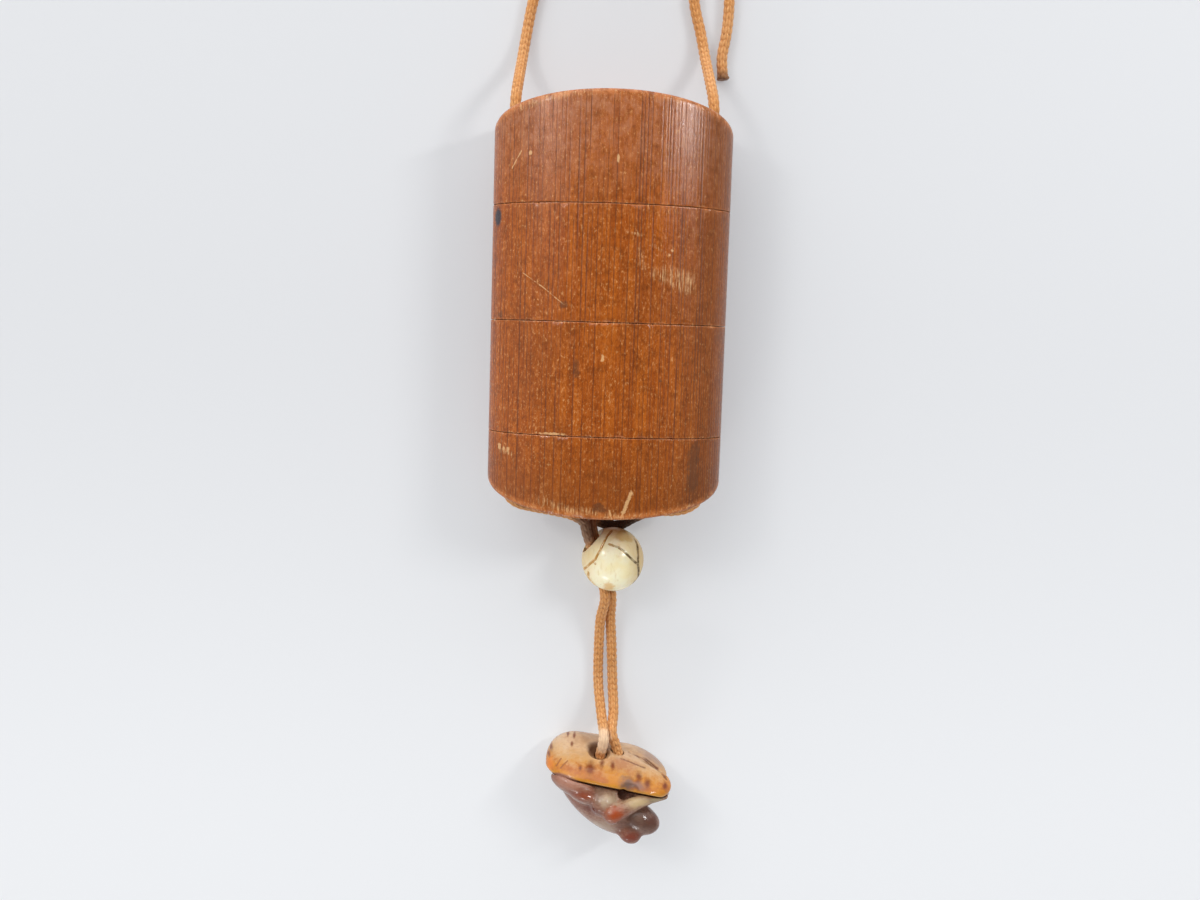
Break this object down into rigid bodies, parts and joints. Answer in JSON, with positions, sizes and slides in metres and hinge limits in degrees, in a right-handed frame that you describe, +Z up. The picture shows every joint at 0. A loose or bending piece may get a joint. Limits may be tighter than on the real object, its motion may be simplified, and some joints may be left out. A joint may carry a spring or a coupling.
{
  "type": "inro case",
  "caption": "Stacked wooden inro case of oval section with arched ends and a lift-off lid, strung on a braided cord with a round bone bead and a small carved netsuke.",
  "frame": {"origin": "bottom centre of the box round the three cases and the lid, on the surface that the inro lies on", "axes": "+Y runs along the stack from the lid to the base, +Z points up out of the front face, +X runs across it"},
  "size_m": [0.0521, 0.2163, 0.0253],
  "materials": {
    "case_wood": "polished",
    "braided_cord": "matte",
    "bead_bone": "gloss",
    "netsuke_horn": "gloss"
  },
  "bodies": {
    "root": {"base_case": "case_wood", "lower_case": "case_wood", "upper_case": "case_wood", "lid": "case_wood", "cord": "braided_cord", "ojime_bead": "bead_bone", "netsuke": "netsuke_horn"}
  },
  "joints": []
}
